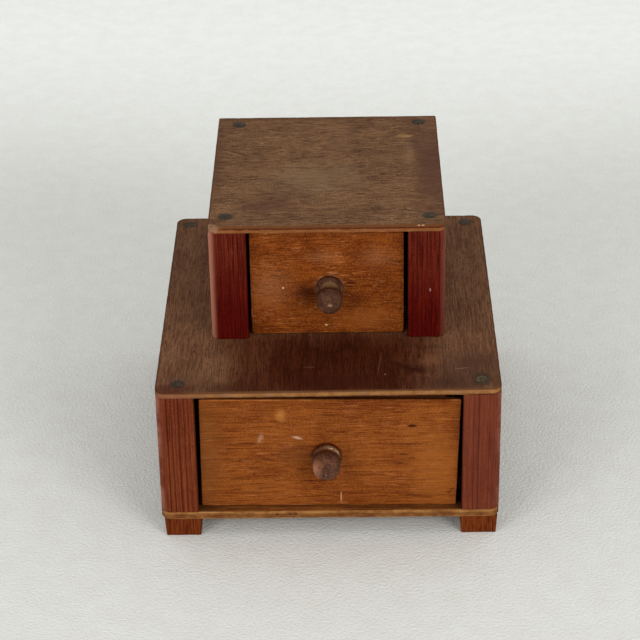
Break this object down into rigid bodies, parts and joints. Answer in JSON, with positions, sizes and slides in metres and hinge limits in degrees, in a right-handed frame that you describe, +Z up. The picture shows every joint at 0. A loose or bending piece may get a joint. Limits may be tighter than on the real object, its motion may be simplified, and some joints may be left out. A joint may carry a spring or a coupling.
{
  "type": "sewing thread drawer cabinet",
  "caption": "Small two-tier tabletop wooden cabinet for sewing thread: a narrow drawer case set back on a wider one, a turned knob on each drawer, rounded plywood tops, short square feet.",
  "frame": {"origin": "middle of the overall footprint, on the surface that the four feet stand on", "axes": "+X to the cabinet's right as seen from the front, +Y to the back, +Z up; the drawers face -Y"},
  "size_m": [0.2032, 0.2418, 0.1778],
  "materials": {
    "top_plywood": "thin dark-stained plywood, worn satin, with bare tan edges",
    "upper_post_wood": "dark red stained hardwood, satin",
    "lower_post_wood": "brown-red stained open-grained hardwood, satin",
    "foot_wood": "red-brown stained hardwood, satin",
    "drawer_front_wood": "orange-brown stained hardwood with some scuffs, satin",
    "knob_wood": "dark stained turned hardwood, worn satin",
    "dowel_wood": "dark stained end grain",
    "case_panel_wood": "brown-red stained thin board, satin",
    "drawer_box_wood": "bare softwood, aged",
    "thin_plywood": "bare thin plywood, aged",
    "steel_fastener": "dull plain steel"
  },
  "bodies": {
    "cabinet": {"lower_top_dowels": "dowel_wood", "lower_top_panel": "top_plywood", "lower_side_panel_left": "case_panel_wood", "lower_side_panel_right": "case_panel_wood", "lower_back_panel": "case_panel_wood", "lower_drawer_guide_left": "drawer_box_wood", "lower_drawer_guide_right": "drawer_box_wood", "upper_top_dowels": "dowel_wood", "upper_top_panel": "top_plywood", "upper_side_panel_left": "case_panel_wood", "upper_side_panel_right": "case_panel_wood", "upper_back_panel": "case_panel_wood", "upper_drawer_guide_left": "drawer_box_wood", "upper_drawer_guide_right": "drawer_box_wood", "lower_post_front_left": "lower_post_wood", "lower_post_front_right": "lower_post_wood", "lower_post_back_left": "lower_post_wood", "lower_post_back_right": "lower_post_wood", "upper_post_front_left": "upper_post_wood", "upper_post_front_right": "upper_post_wood", "upper_post_back_left": "upper_post_wood", "upper_post_back_right": "upper_post_wood", "foot_front_left": "foot_wood", "foot_front_right": "foot_wood", "foot_back_left": "foot_wood", "foot_back_right": "foot_wood", "foot_screws": "steel_fastener", "upper_case_screws": "steel_fastener", "lower_base_panel": "top_plywood"},
    "lower_drawer": {"lower_drawer_front": "drawer_front_wood", "lower_drawer_knob": "knob_wood", "lower_drawer_side_left": "drawer_box_wood", "lower_drawer_side_right": "drawer_box_wood", "lower_drawer_back": "drawer_box_wood", "lower_drawer_bottom": "thin_plywood", "lower_drawer_brads": "steel_fastener"},
    "upper_drawer": {"upper_drawer_front": "drawer_front_wood", "upper_drawer_knob": "knob_wood", "upper_drawer_side_left": "drawer_box_wood", "upper_drawer_side_right": "drawer_box_wood", "upper_drawer_back": "drawer_box_wood", "upper_drawer_bottom": "thin_plywood", "upper_drawer_brads": "steel_fastener"}
  },
  "joints": [
    {"name": "lower_drawer_slide", "type": "slide", "parent": "cabinet", "child": "lower_drawer", "axis": [0, -1, 0], "range_m": [0, 0.15]},
    {"name": "upper_drawer_slide", "type": "slide", "parent": "cabinet", "child": "upper_drawer", "axis": [0, -1, 0], "range_m": [0, 0.1]}
  ]
}
